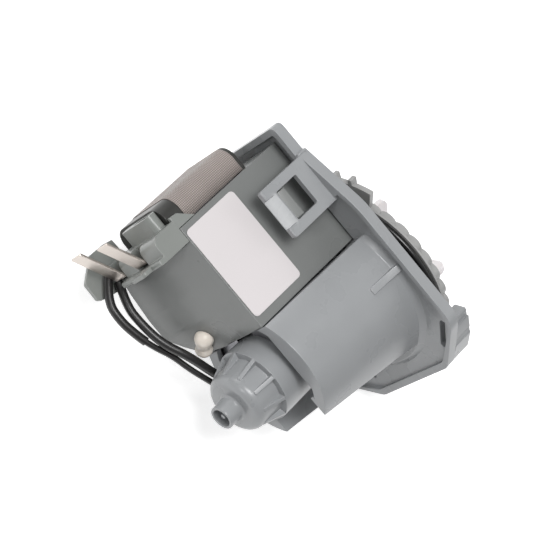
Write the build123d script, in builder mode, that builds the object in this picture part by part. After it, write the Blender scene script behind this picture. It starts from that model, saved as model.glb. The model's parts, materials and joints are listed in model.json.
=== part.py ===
from build123d import *
import os
from math import cos, radians, sin, sqrt, tan

# Drain pump of a dishwasher, made as its separate pieces round the rotor axis.
# X runs along the rotor axis towards the impeller, Y towards the coils, Z out of the label.
# The origin is on the rotor axis, in the front face of the flange plate. Millimetres.

os.makedirs("parts", exist_ok=True)

# Flange plate: a tray with its rim turned back towards the motor, and a neck above it
PLATE_HALF = 33.0
PLATE_TOP = 29.5
PLATE_CORNER_Y = -23.0
PLATE_BOTTOM = -35.3
PLATE_BOTTOM_HALF = 16.0
FAR_CORNER = (-28.5, -21.0)
SHOULDER_START = 21.5
SHOULDER = (44.5, 26.8)
NECK_HALF = 25.4
NECK_TOP = 55.3
RIM_BACK = -3.8
RIM_WIDTH = 1.8
FOOT_RIM_WIDTH = 2.4
FLOOR_BACK = -2.4
NECK_WALL = 2.2
NECK_FLOOR_BACK = -0.9
TRAY_TOP = 27.7
TRAY_TOP_HALF = 29.4
SLOT_WIDTH = 1.9
SLOT_CENTRE = (-25.2, 23.8)

# Barrel: a cone over the stator poles that flares out to the plate
BARREL_END = -45.0
BARREL_END_R = 22.4
STEP_X = -12.8
STEP_R = 25.8
RIDGE_X = -4.0
RIDGE_R = 27.1
FLARE_R = 28.8
BARREL_WALL = 2.0
OPENING_R = 18.5
CHORD_Z = 15.5
BARREL_TOP = 13.3
BARREL_SLOT_HALF = 11.6
POLE_WALL_THICK = 1.6
POLE_WALL_TOP = -12.4
GUSSET_THICK = 2.4
GUSSET_Y = -0.6

# Rotor can with its ribbed dome and hollow boss
CAN_R = 12.2
CAN_BORE_R = 11.0
COLLAR_R = 12.6
COLLAR_X = -46.0
SHOULDER_X = -50.5
DOME_R = 10.4
DOME_BEND_X = -57.6
DOME_END = -60.5
BOSS_R = 4.1
BOSS_END = -65.8
BOSS_BORE_R = 3.0
BOSS_BORE_DEPTH = 6.2
NUB_R = 0.8
CUP_SEAT_R = 7.2
CUP_SEAT_END = -57.0
RIB_COUNT = 10
RIB_THICK = 1.3

# Latch arms of the body and the lugs of the stator that they hold
ARM_TOP = 27.2
ARM_THICK = 2.0
ARM_Y = (26.8, 43.8)
ARM_END = -23.0
WINDOW_X = (-18.3, -9.1)
WINDOW_Y = (30.2, 40.6)
RAMP_DROP = 1.7

# Gasket, its spigot and the chamber plate with bayonet lugs
SPIGOT_R = 25.9
SPIGOT_WALL = 1.7
SPIGOT_END = 4.7
GASKET_R = 30.2
GASKET_X = (0.4, 4.9)
SCALLOP_COUNT = 33
SCALLOP_CREST_R = 30.3
SCALLOP_VALLEY_R = 29.2
CHAMBER_X = (5.0, 7.8)
LUG_R = 36.7
LUG_THICK = 1.8
LUG_RIB_R = 38.4
LUG_ANGLES = (15.5, 54.7)
PLUG_R = 10.8
PLUG_BACK = -11.0

# Rotor and its bearings
SHAFT_R = 1.5
RUNNING_GAP = 0.05
BUSH_R = 4.0
MAGNET_R = 10.4
MAGNET_X = (-43.5, -15.5)
SLEEVE_R = 5.5

# Impeller, its hub and the dog inside it
IMPELLER_X = (8.6, 17.4)
CAP_X = (15.4, 16.6)
BLADE_COUNT = 5
BLADE_R = 24.3
BLADE_THICK = 1.8
BLADE_ANGLE = 48.2
BACK_DISC_R = 21.0
HUB_R = 10.0
HUB_BORE_R = 8.0
DOG_HALF_ANGLE = 26.0
STOP_HALF_ANGLE = 24.0
MOVING_GAP = 0.3

# Stator: the moulded block, the U-shaped core, the coils and the tape over the yoke
BLOCK_Z = 18.0
BLOCK_BOTTOM = 13.6
BLOCK_TOP = 51.0
BLOCK_FRONT = -1.2
STACK_X = (-42.0, -17.0)
LEG_Z = (4.6, 12.2)
POLE_Z = 16.0
POLE_BORE_R = 12.6
YOKE_TOP = 59.2
YOKE_BOTTOM = 50.6
COIL_BUILD = 3.2
BOBBIN_WALL = 0.8
BOBBIN_Y = (17.6, 50.0)
CHEEK_THICK = 1.1
TAPE_TOP = 60.3
TAPE_Z = (-12.9, 15.5)
TAPE_X = (-40.0, -14.6)
TAPE_THICK = 0.5
END_WALL_X = (-46.0, -13.2)
LABEL_X = (-45.4, -23.9)
LABEL_Y = (16.7, 49.2)
LABEL_THICK = 0.2

# Terminal carrier and its two spade blades
CARRIER_Z = (-16.0, 18.0)
CARRIER_WALL = 1.5
CARRIER_BACK = -46.1
CARRIER_BOTTOM = 46.4
LEDGE_END = -58.4
TONGUE_END = -61.0
LEAD_NOTCH_Z = -7.6
LEAD_NOTCH_Y = 49.2
SPADE_WIDTH = 6.3
SPADE_THICK = 0.8
SPADE_LENGTHS = (13.2, 15.2)
SPADE_Z = (4.9, -9.3)
SPADE_TURN = 28.0
SPADE_FOOT = (-55.8, 49.3)

# Leads: sleeved wires from the carrier to the coils
SLEEVE_DIA = 2.8
WIRE_DIA = 1.9


def polar(radius, angle):
    """Point at an angle in degrees from +Y towards +Z, in the (y, z) plane."""
    return (radius * cos(radians(angle)), radius * sin(radians(angle)))


def radial_plane(angle):
    """Plane through the rotor axis: its x runs along the axis and its y outwards at the angle."""
    return Plane(origin=(0, 0, 0), x_dir=(1, 0, 0), z_dir=(0, -sin(radians(angle)), cos(radians(angle))))


def sector_wire(inner, outer, start, end):
    """Closed outline of a ring sector in the (y, z) plane, drawn into the open BuildLine."""
    middle = (start + end) / 2
    ThreePointArc(polar(inner, start), polar(inner, middle), polar(inner, end))
    Line(polar(inner, end), polar(outer, end))
    ThreePointArc(polar(outer, end), polar(outer, middle), polar(outer, start))
    Line(polar(outer, start), polar(inner, start))


def finish(builder, name):
    """Label a finished piece and write its file."""
    builder.part.label = name
    export_step(builder.part, f"parts/{name}.step")


# Pump body: flange tray, neck, barrel, rotor can, latch arms and grip block in one moulding
with BuildPart() as pump_body:
    with BuildSketch(Plane.YZ.offset(RIM_BACK)):
        with BuildLine():
            FilletPolyline(
                (PLATE_BOTTOM, FAR_CORNER[1]), (FAR_CORNER[0], -PLATE_HALF), (SHOULDER_START, -PLATE_HALF),
                (SHOULDER[0], -SHOULDER[1]), (SHOULDER[0], -NECK_HALF), (NECK_TOP, -NECK_HALF),
                (NECK_TOP, NECK_HALF), (SHOULDER[0], NECK_HALF), SHOULDER, (SHOULDER_START, PLATE_HALF),
                (PLATE_CORNER_Y, PLATE_HALF), (PLATE_BOTTOM, PLATE_BOTTOM_HALF),
                radius=[5, 4, 20, 1, 0.4, 2, 2, 0.4, 1, 20, 8, 5], close=True)
        make_face()
    extrude(amount=-RIM_BACK)
    with BuildSketch(Plane.YZ.offset(RIM_BACK)):
        with BuildLine():
            FilletPolyline(
                (PLATE_BOTTOM + FOOT_RIM_WIDTH, FAR_CORNER[1]), (FAR_CORNER[0], -PLATE_HALF + RIM_WIDTH),
                (SHOULDER_START, -PLATE_HALF + RIM_WIDTH), (TRAY_TOP, -TRAY_TOP_HALF), (TRAY_TOP, TRAY_TOP_HALF),
                (SHOULDER_START, PLATE_HALF - RIM_WIDTH), (PLATE_CORNER_Y, PLATE_HALF - RIM_WIDTH),
                (PLATE_BOTTOM + FOOT_RIM_WIDTH, PLATE_BOTTOM_HALF),
                radius=[4, 3, 8, 1, 1, 8, 6.5, 4], close=True)
        make_face()
    extrude(amount=FLOOR_BACK - RIM_BACK, mode=Mode.SUBTRACT)
    with BuildSketch(Plane.YZ.offset(RIM_BACK)):
        with Locations(((PLATE_TOP + NECK_TOP - NECK_WALL) / 2, 0)):
            RectangleRounded(NECK_TOP - NECK_WALL - PLATE_TOP, 2 * (NECK_HALF - NECK_WALL), 1.2)
    extrude(amount=NECK_FLOOR_BACK - RIM_BACK, mode=Mode.SUBTRACT)
    with BuildSketch(Plane.YZ.offset(RIM_BACK)):
        with Locations((TRAY_TOP, 0)):
            Rectangle(2 * (PLATE_TOP - TRAY_TOP) + 4, 2 * (NECK_HALF - NECK_WALL))
    extrude(amount=FLOOR_BACK - RIM_BACK, mode=Mode.SUBTRACT)

    # Barrel cone and flare, hollow for the poles
    with BuildSketch(Plane.XY):
        with BuildLine():
            Polyline((FLOOR_BACK, FLARE_R), (FLOOR_BACK, 0), (BARREL_END, 0), (BARREL_END, BARREL_END_R),
                     (STEP_X, STEP_R), (RIDGE_X, RIDGE_R), (FLOOR_BACK, FLARE_R), close=True)
        make_face()
    revolve(axis=Axis.X)
    with BuildSketch(Plane.XY):
        with BuildLine():
            Polyline((FLOOR_BACK, STEP_R - BARREL_WALL), (FLOOR_BACK, 0), (BARREL_END + BARREL_WALL, 0),
                     (BARREL_END + BARREL_WALL, BARREL_END_R - BARREL_WALL), (STEP_X, STEP_R - BARREL_WALL),
                     close=True)
        make_face()
    revolve(axis=Axis.X, mode=Mode.SUBTRACT)
    with BuildSketch(Plane.YZ.offset(BARREL_END)):
        Circle(OPENING_R)
        Rectangle(2 * OPENING_R, 2 * CHORD_Z, mode=Mode.INTERSECT)
    extrude(amount=BARREL_WALL, mode=Mode.SUBTRACT)
    with BuildSketch(Plane.ZX.offset(BARREL_TOP)):
        with Locations((0, (BARREL_END - 1 + FLOOR_BACK) / 2)):
            Rectangle(2 * FLARE_R + 1, FLOOR_BACK - BARREL_END + 1)
    extrude(amount=TRAY_TOP - BARREL_TOP, mode=Mode.SUBTRACT)

    # Pocket of the block in the floor, from the barrel's edge up into the neck
    with BuildSketch(Plane.YZ.offset(RIM_BACK)):
        with Locations(((BARREL_TOP + PLATE_TOP) / 2 + 1, 0)):
            Rectangle(PLATE_TOP - BARREL_TOP + 2, 2 * BLOCK_Z + 2)
    extrude(amount=NECK_FLOOR_BACK - RIM_BACK, mode=Mode.SUBTRACT)

    # Open side of the barrel under the can, with a flat wall beside each pole
    with BuildSketch(Plane.ZX.offset(-CAN_R - 0.4)):
        with Locations((0, (BARREL_END - 1 + RIDGE_X) / 2)):
            Rectangle(2 * BARREL_SLOT_HALF, RIDGE_X - BARREL_END + 1)
    extrude(amount=CAN_R - FLARE_R - 2, mode=Mode.SUBTRACT)
    for wall_z in (BARREL_SLOT_HALF, -BARREL_SLOT_HALF - POLE_WALL_THICK):
        with BuildSketch(Plane.XY.offset(wall_z)):
            with BuildLine():
                Polyline((BARREL_END, POLE_WALL_TOP), (BARREL_END, -17.6), (STEP_X, -21.2), (FLOOR_BACK, -21.2),
                         (FLOOR_BACK, POLE_WALL_TOP), close=True)
            make_face()
        extrude(amount=POLE_WALL_THICK)

    # Rotor can, dome and boss, then everything that is hollow in them
    with BuildSketch(Plane.XY):
        with BuildLine():
            Polyline((DOME_END, 7.4), (DOME_END, BOSS_R + 0.6), (DOME_END - 0.6, BOSS_R), (BOSS_END, BOSS_R - 0.2),
                     (BOSS_END, 0), (0, 0), (0, CAN_R + 0.8), (FLOOR_BACK, CAN_R + 0.8), (FLOOR_BACK - 1, CAN_R),
                     (COLLAR_X, COLLAR_R), (SHOULDER_X, COLLAR_R), (SHOULDER_X, DOME_R),
                     (DOME_BEND_X, DOME_R - 0.4))
            RadiusArc((DOME_BEND_X, DOME_R - 0.4), (DOME_END, 7.4), -3.2)
        make_face()
    revolve(axis=Axis.X)
    for rib in range(RIB_COUNT):
        with BuildSketch(radial_plane(90 + rib * 360 / RIB_COUNT)):
            with BuildLine():
                Polyline((SHOULDER_X, COLLAR_R - 0.1), (SHOULDER_X, 8.6), (DOME_BEND_X, 8.6),
                         (DOME_BEND_X, DOME_R - 0.2), close=True)
            make_face()
        extrude(amount=RIB_THICK / 2, both=True)
    with BuildSketch(Plane.XY):
        with BuildLine():
            Polyline((0.5, 0), (0.5, CAN_BORE_R), (COLLAR_X, CAN_BORE_R), (COLLAR_X, CUP_SEAT_R),
                     (CUP_SEAT_END + 1.2, CUP_SEAT_R), (CUP_SEAT_END, CUP_SEAT_R - 1.2), (CUP_SEAT_END, 0),
                     close=True)
        make_face()
    revolve(axis=Axis.X, mode=Mode.SUBTRACT)
    with BuildSketch(Plane.YZ.offset(BOSS_END)):
        Circle(BOSS_BORE_R)
        Circle(NUB_R, mode=Mode.SUBTRACT)
    extrude(amount=BOSS_BORE_DEPTH, mode=Mode.SUBTRACT)
    with BuildSketch(Plane.YZ.offset(BOSS_END)):
        Circle(BOSS_BORE_R)
    extrude(amount=NUB_R, mode=Mode.SUBTRACT)

    # Gussets between the rim and the barrel, one on each side
    for side in (1, -1):
        with BuildSketch(Plane.XZ.offset(-GUSSET_Y)):
            with BuildLine():
                Polyline((FLOOR_BACK, side * 29.6), (FLOOR_BACK, side * 25), (-13.8, side * 25),
                         (-13.8, side * 26.1), (-8.2, side * 27.2), (RIM_BACK, side * 29.0), close=True)
            make_face()
        extrude(amount=GUSSET_THICK / 2, both=True)

        # Latch arm with its window and a lead-in ramp between two rails
        with BuildSketch(Plane.XY.offset(side * (ARM_TOP - ARM_THICK / 2))):
            with Locations(((ARM_END + NECK_FLOOR_BACK) / 2, (ARM_Y[0] + ARM_Y[1]) / 2)):
                RectangleRounded(NECK_FLOOR_BACK - ARM_END, ARM_Y[1] - ARM_Y[0], 0.8)
        extrude(amount=ARM_THICK / 2, both=True)
        with BuildSketch(Plane.XZ.offset(-WINDOW_Y[0])):
            with BuildLine():
                Polyline((WINDOW_X[0] - 0.6, side * ARM_TOP), (ARM_END, side * ARM_TOP),
                         (ARM_END, side * (ARM_TOP - RAMP_DROP)), close=True)
            make_face()
        extrude(amount=WINDOW_Y[0] - WINDOW_Y[1], mode=Mode.SUBTRACT)
        with BuildSketch(Plane.XY.offset(side * (ARM_TOP - ARM_THICK / 2))):
            with Locations(((WINDOW_X[0] + WINDOW_X[1]) / 2, (WINDOW_Y[0] + WINDOW_Y[1]) / 2)):
                RectangleRounded(WINDOW_X[1] - WINDOW_X[0], WINDOW_Y[1] - WINDOW_Y[0], 0.5)
        extrude(amount=ARM_THICK, both=True, mode=Mode.SUBTRACT)

        # Narrow slot through the plate floor in the lower corner
        with BuildSketch(Plane.YZ.offset(RIM_BACK)):
            with Locations(Location((SLOT_CENTRE[0], side * SLOT_CENTRE[1]), side * 47)):
                SlotOverall(11, SLOT_WIDTH)
        extrude(amount=-RIM_BACK, mode=Mode.SUBTRACT)

    # Spigot that carries the gasket
    with BuildSketch(Plane.YZ):
        Circle(SPIGOT_R)
        Circle(SPIGOT_R - SPIGOT_WALL, mode=Mode.SUBTRACT)
    extrude(amount=SPIGOT_END)

    # Grip block on the lower corner, with two grooves
    with BuildSketch(Plane.YZ):
        with BuildLine():
            Polyline((-21.5, 23.6), (-23.8, 27), (-27, 25.4), (-31.7, 20.9), (-35.1, 15.6), (-29.2, 13.0))
            RadiusArc((-29.2, 13.0), (-21.5, 23.6), 32)
        make_face()
        for groove in ((-25.6, 26.0), (-30.6, 22.0)):
            with Locations(Location(groove, -48)):
                Rectangle(0.5, 1.8, mode=Mode.SUBTRACT)
    extrude(amount=8)
finish(pump_body, "pump_body")

# Flange gasket: a rubber band with two round lips
with BuildPart() as flange_gasket:
    lip_r = 1.0
    lip_foot = GASKET_R - lip_r
    back_lip = GASKET_X[0] + 1.1
    front_lip = GASKET_X[1] - 1.1
    with BuildSketch(Plane.XY):
        with BuildLine():
            ThreePointArc((back_lip - lip_r, lip_foot), (back_lip, GASKET_R), (back_lip + lip_r, lip_foot))
            Polyline((back_lip + lip_r, lip_foot), ((back_lip + front_lip) / 2, lip_foot - 0.5),
                     (front_lip - lip_r, lip_foot))
            ThreePointArc((front_lip - lip_r, lip_foot), (front_lip, GASKET_R), (front_lip + lip_r, lip_foot))
            Polyline((front_lip + lip_r, lip_foot), (GASKET_X[1], SPIGOT_R + 0.05), (GASKET_X[0], SPIGOT_R + 0.05),
                     (back_lip - lip_r, lip_foot))
        make_face()
    revolve(axis=Axis.X)
finish(flange_gasket, "flange_gasket")

# Chamber plate: scalloped cover with bayonet lugs and a plug that closes the rotor can
with BuildPart() as chamber_plate:
    with BuildSketch(Plane.YZ.offset(CHAMBER_X[0])):
        with BuildLine():
            pitch = 360 / SCALLOP_COUNT
            for wave in range(SCALLOP_COUNT):
                start = 5.45 + wave * pitch
                ThreePointArc(polar(SCALLOP_VALLEY_R, start), polar(SCALLOP_CREST_R, start + pitch / 2),
                              polar(SCALLOP_VALLEY_R, start + pitch))
        make_face()
    extrude(amount=CHAMBER_X[1] - CHAMBER_X[0])
    with BuildSketch(Plane.YZ.offset(CHAMBER_X[0])):
        Circle(SCALLOP_CREST_R)
    extrude(amount=0.8)
    with BuildSketch(Plane.YZ.offset(CHAMBER_X[1] - 1)):
        Circle(27.2)
    extrude(amount=1, mode=Mode.SUBTRACT)
    with BuildSketch(Plane.YZ.offset(CHAMBER_X[0])) as lug_outline:
        for turn in (0, 180):
            with BuildLine():
                sector_wire(28, LUG_R, LUG_ANGLES[0] + turn, LUG_ANGLES[1] + turn)
            make_face()
        fillet([corner for corner in lug_outline.vertices() if Vector(*corner).length > LUG_R], 2)
    extrude(amount=LUG_THICK)
    for rib_angle in (33.4, 43, 213.4, 223):
        with BuildSketch(radial_plane(rib_angle)):
            with BuildLine():
                Polyline((CHAMBER_X[0], LUG_R - 1), (CHAMBER_X[0], LUG_RIB_R), (CHAMBER_X[1] - 0.2, LUG_RIB_R),
                         (CHAMBER_X[1] - 0.2, LUG_R - 1), close=True)
            make_face()
        extrude(amount=0.7, both=True)

    # Rear skirt inside the spigot and plug inside the can, with the groove for its ring
    with BuildSketch(Plane.XY):
        with BuildLine():
            Polyline((1, 22.2), (1, 23.8), (CHAMBER_X[0], 23.8), (CHAMBER_X[0], 22.2), close=True)
        make_face()
        with BuildLine():
            Polyline((PLUG_BACK, 0), (PLUG_BACK, PLUG_R - 0.6), (PLUG_BACK + 0.6, PLUG_R), (-3.4, PLUG_R), (-3.4, 9),
                     (-1.2, 9), (-1.2, PLUG_R), (CHAMBER_X[0], PLUG_R), (CHAMBER_X[0], 0), close=True)
        make_face()
    revolve(axis=Axis.X)
    with BuildSketch(Plane.XY):
        with BuildLine():
            Polyline((PLUG_BACK, 0), (PLUG_BACK, BUSH_R), (3.6, BUSH_R), (3.6, 4.8), (CHAMBER_X[1], 4.8),
                     (CHAMBER_X[1], 0), close=True)
        make_face()
    revolve(axis=Axis.X, mode=Mode.SUBTRACT)
finish(chamber_plate, "chamber_plate")

# Ring in the groove of the plug, which seals the rotor can
with BuildPart() as cover_o_ring:
    with BuildSketch(Plane.XY):
        with Locations((-2.3, 10)):
            Circle(0.95)
    revolve(axis=Axis.X)
finish(cover_o_ring, "cover_o_ring")

# Front and rear bush of the shaft
with BuildPart() as front_bush:
    with BuildSketch(Plane.YZ.offset(-11.4)):
        Circle(BUSH_R)
        Circle(SHAFT_R + RUNNING_GAP, mode=Mode.SUBTRACT)
    extrude(amount=10.4)
finish(front_bush, "front_bush")

with BuildPart() as rear_bush:
    with BuildSketch(Plane.YZ.offset(-55.0)):
        Circle(4.2)
        Circle(SHAFT_R + RUNNING_GAP, mode=Mode.SUBTRACT)
    extrude(amount=8.2)
finish(rear_bush, "rear_bush")

# Rubber cup that holds the rear bush in the dome
with BuildPart() as rear_bush_cup:
    with BuildSketch(Plane.XY):
        with BuildLine():
            Polyline((-46.9, 4.2), (-46.9, 7.15), (-55.6, 7.15), (-56.9, 5.8), (-56.9, 2.2), (-55.0, 2.2),
                     (-55.0, 4.2), close=True)
        make_face()
    revolve(axis=Axis.X)
finish(rear_bush_cup, "rear_bush_cup")

# Lip seal of the shaft in the chamber plate
with BuildPart() as shaft_seal:
    with BuildSketch(Plane.XY):
        with BuildLine():
            Polyline((3.7, 4.75), (3.7, 3.4), (5.2, 3.0), (4.6, SHAFT_R + RUNNING_GAP), (5.4, SHAFT_R + RUNNING_GAP),
                     (6.9, 3.6), (6.9, 4.75), close=True)
        make_face()
    revolve(axis=Axis.X)
finish(shaft_seal, "shaft_seal")

# Rotor: shaft, sleeve, magnet and a thrust washer at each end
with BuildPart() as rotor_shaft:
    with BuildSketch(Plane.XY):
        with BuildLine():
            Polyline((-53.6, 0), (-53.6, SHAFT_R - 0.3), (-53.3, SHAFT_R), (14.9, SHAFT_R), (15.2, SHAFT_R - 0.3),
                     (15.2, 0), close=True)
        make_face()
    revolve(axis=Axis.X)
finish(rotor_shaft, "rotor_shaft")

with BuildPart() as rotor_sleeve:
    with BuildSketch(Plane.XY):
        with BuildLine():
            Polyline((-44.8, SHAFT_R), (-44.8, 7.4), (MAGNET_X[0], 7.8), (MAGNET_X[0], SLEEVE_R),
                     (MAGNET_X[1], SLEEVE_R), (MAGNET_X[1], 7.8), (-14.2, 7.4), (-14.2, SHAFT_R), close=True)
        make_face()
    revolve(axis=Axis.X)
finish(rotor_sleeve, "rotor_sleeve")

with BuildPart() as rotor_magnet:
    with BuildSketch(Plane.YZ.offset(MAGNET_X[0])):
        Circle(MAGNET_R)
        Circle(SLEEVE_R, mode=Mode.SUBTRACT)
    extrude(amount=MAGNET_X[1] - MAGNET_X[0])
finish(rotor_magnet, "rotor_magnet")

with BuildPart() as thrust_washers:
    for washer_x in (-46.3, -14.2):
        with BuildSketch(Plane.YZ.offset(washer_x)):
            Circle(3.6)
            Circle(SHAFT_R, mode=Mode.SUBTRACT)
        extrude(amount=1.5)
finish(thrust_washers, "thrust_washers")

# Dog on the shaft's end inside the impeller hub, with its rubber damper
with BuildPart() as drive_dog:
    with BuildSketch(Plane.YZ.offset(9.9)):
        Circle(3.4)
        with BuildLine():
            sector_wire(2.4, 6.9, 270 - DOG_HALF_ANGLE + 7, 270 + DOG_HALF_ANGLE - 7)
        make_face()
        Circle(SHAFT_R, mode=Mode.SUBTRACT)
    extrude(amount=5)
finish(drive_dog, "drive_dog")

with BuildPart() as dog_damper:
    with BuildSketch(Plane.YZ.offset(10.2)):
        with BuildLine():
            sector_wire(3.8, HUB_BORE_R - MOVING_GAP, 270 - DOG_HALF_ANGLE, 270 + DOG_HALF_ANGLE)
        make_face()
        with BuildLine():
            sector_wire(3.0, 6.9, 270 - DOG_HALF_ANGLE + 7, 270 + DOG_HALF_ANGLE - 7)
        make_face(mode=Mode.SUBTRACT)
    extrude(amount=4.4)
finish(dog_damper, "dog_damper")

# Impeller: closed hub with a stop inside, back disc and straight blades with rounded tips
with BuildPart() as impeller:
    with BuildSketch(Plane.YZ.offset(IMPELLER_X[0])):
        Circle(HUB_R)
    extrude(amount=IMPELLER_X[1] - IMPELLER_X[0] - 0.8)
    with BuildSketch(Plane.YZ.offset(IMPELLER_X[0])):
        Circle(BACK_DISC_R)
    extrude(amount=1.1)
    for blade in range(BLADE_COUNT):
        with BuildSketch(radial_plane(BLADE_ANGLE + blade * 360 / BLADE_COUNT)):
            with BuildLine():
                FilletPolyline((IMPELLER_X[0], HUB_R - 1), (IMPELLER_X[1], HUB_R - 1), (IMPELLER_X[1], BLADE_R),
                               (9.8, BLADE_R), (IMPELLER_X[0], BACK_DISC_R), radius=[0, 0, 3.6, 0.8, 0], close=True)
            make_face()
        extrude(amount=BLADE_THICK / 2, both=True)
    with BuildSketch(Plane.YZ.offset(9.4)):
        Circle(HUB_BORE_R)
        with BuildLine():
            sector_wire(3.4 + MOVING_GAP, HUB_BORE_R + 0.5, 90 - STOP_HALF_ANGLE, 90 + STOP_HALF_ANGLE)
        make_face(mode=Mode.SUBTRACT)
    extrude(amount=6, mode=Mode.SUBTRACT)
    with BuildSketch(Plane.YZ.offset(CAP_X[0])):
        Circle(HUB_BORE_R)
    extrude(amount=4, mode=Mode.SUBTRACT)
    with BuildSketch(Plane.YZ.offset(IMPELLER_X[0])):
        Circle(SHAFT_R + RUNNING_GAP)
    extrude(amount=2, mode=Mode.SUBTRACT)
finish(impeller, "impeller")

with BuildPart() as impeller_cap:
    with BuildSketch(Plane.XY):
        with BuildLine():
            Polyline((CAP_X[0], 0), (CAP_X[0], HUB_BORE_R), (CAP_X[1] - 0.4, HUB_BORE_R),
                     (CAP_X[1], HUB_BORE_R - 0.6), (CAP_X[1], 3.6), (CAP_X[1] + 0.6, 3.0), (CAP_X[1] + 0.6, 0),
                     close=True)
        make_face()
    revolve(axis=Axis.X)
finish(impeller_cap, "impeller_cap")

# Stator core: a U of laminations whose legs stand on each side of the can
with BuildPart() as stator_core:
    with BuildSketch(Plane.YZ.offset(STACK_X[0])):
        with BuildLine():
            leg_foot = sqrt(POLE_BORE_R ** 2 - LEG_Z[0] ** 2)
            FilletPolyline((leg_foot, LEG_Z[0]), (YOKE_BOTTOM, LEG_Z[0]), (YOKE_BOTTOM, 0), radius=[0.5])
            Line((YOKE_BOTTOM, 0), (YOKE_TOP, 0))
            FilletPolyline((YOKE_TOP, 0), (YOKE_TOP, LEG_Z[1]), (BARREL_TOP - 0.3, LEG_Z[1]), radius=[4.5])
            Polyline((BARREL_TOP - 0.3, LEG_Z[1]), (BARREL_TOP - 0.3, POLE_Z - 1.2), (11.4, POLE_Z), (-11, POLE_Z),
                     (-11, POLE_BORE_R), (0, POLE_BORE_R))
            ThreePointArc((0, POLE_BORE_R), polar(POLE_BORE_R, 50), (leg_foot, LEG_Z[0]))
        make_face()
        mirror(about=Plane.XZ)
    extrude(amount=STACK_X[1] - STACK_X[0])
finish(stator_core, "stator_core")

# Twin bobbins on the legs, with the dark end walls of the yoke
coil_x = (STACK_X[0] - BOBBIN_WALL - COIL_BUILD, STACK_X[1] + BOBBIN_WALL + COIL_BUILD)
coil_z = (LEG_Z[0] - BOBBIN_WALL - COIL_BUILD, LEG_Z[1] + BOBBIN_WALL + COIL_BUILD)
leg_centre = ((STACK_X[0] + STACK_X[1]) / 2, (LEG_Z[0] + LEG_Z[1]) / 2)
leg_size = (STACK_X[1] - STACK_X[0], LEG_Z[1] - LEG_Z[0])
tape_centre_z = (TAPE_Z[0] + TAPE_Z[1]) / 2
tape_width = TAPE_Z[1] - TAPE_Z[0]
with BuildPart() as coil_bobbins:
    for side in (1, -1):
        place = (side * leg_centre[1], leg_centre[0])
        with BuildSketch(Plane.ZX.offset(BOBBIN_Y[0])):
            with Locations(place):
                Rectangle(leg_size[1] + 2 * BOBBIN_WALL, leg_size[0] + 2 * BOBBIN_WALL)
        extrude(amount=BOBBIN_Y[1] - BOBBIN_Y[0])
        for cheek_y in (BOBBIN_Y[0], BOBBIN_Y[1] - CHEEK_THICK):
            with BuildSketch(Plane.ZX.offset(cheek_y)):
                with Locations(place):
                    RectangleRounded(coil_z[1] - coil_z[0], coil_x[1] - coil_x[0], 1.5)
            extrude(amount=CHEEK_THICK)
    with BuildSketch(Plane.ZX.offset(BOBBIN_Y[1] - CHEEK_THICK)):
        with Locations((tape_centre_z, (TAPE_X[0] + TAPE_X[1]) / 2)):
            Rectangle(tape_width - 2, TAPE_X[1] - TAPE_X[0])
    extrude(amount=CHEEK_THICK)
    for start_x, end_x in ((END_WALL_X[0], TAPE_X[0]), (TAPE_X[1], END_WALL_X[1])):
        with BuildSketch(Plane.YZ.offset(start_x)):
            with BuildLine():
                FilletPolyline((BOBBIN_Y[1] - CHEEK_THICK, TAPE_Z[0] + 0.2), (TAPE_TOP - 0.2, TAPE_Z[0] + 0.2),
                               (TAPE_TOP - 0.2, TAPE_Z[1] - 0.2), (BOBBIN_Y[1] - CHEEK_THICK, TAPE_Z[1] - 0.2),
                               radius=[0, 4.8, 4.8, 0], close=True)
            make_face()
        extrude(amount=end_x - start_x)
    with BuildSketch(Plane.YZ.offset(STACK_X[0] - 0.05)):
        with BuildLine():
            FilletPolyline((BOBBIN_Y[1], -LEG_Z[1] - 0.1), (YOKE_TOP + 0.1, -LEG_Z[1] - 0.1),
                           (YOKE_TOP + 0.1, LEG_Z[1] + 0.1), (BOBBIN_Y[1], LEG_Z[1] + 0.1),
                           radius=[0, 4.6, 4.6, 0], close=True)
        make_face()
    extrude(amount=STACK_X[1] - STACK_X[0] + 0.1, mode=Mode.SUBTRACT)
    for side in (1, -1):
        with BuildSketch(Plane.ZX.offset(BOBBIN_Y[0] - 1)):
            with Locations((side * leg_centre[1], leg_centre[0])):
                Rectangle(leg_size[1], leg_size[0])
        extrude(amount=BOBBIN_Y[1] - BOBBIN_Y[0] + 2, mode=Mode.SUBTRACT)
finish(coil_bobbins, "coil_bobbins")

# Copper windings between the cheeks of the bobbins
with BuildPart() as coil_windings:
    for side in (1, -1):
        with BuildSketch(Plane.ZX.offset(BOBBIN_Y[0] + CHEEK_THICK)):
            with Locations((side * leg_centre[1], leg_centre[0])):
                RectangleRounded(coil_z[1] - coil_z[0] - 0.4, coil_x[1] - coil_x[0] - 0.4, 3)
                Rectangle(leg_size[1] + 2 * BOBBIN_WALL, leg_size[0] + 2 * BOBBIN_WALL, mode=Mode.SUBTRACT)
        extrude(amount=BOBBIN_Y[1] - BOBBIN_Y[0] - 2 * CHEEK_THICK)
finish(coil_windings, "coil_windings")

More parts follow.
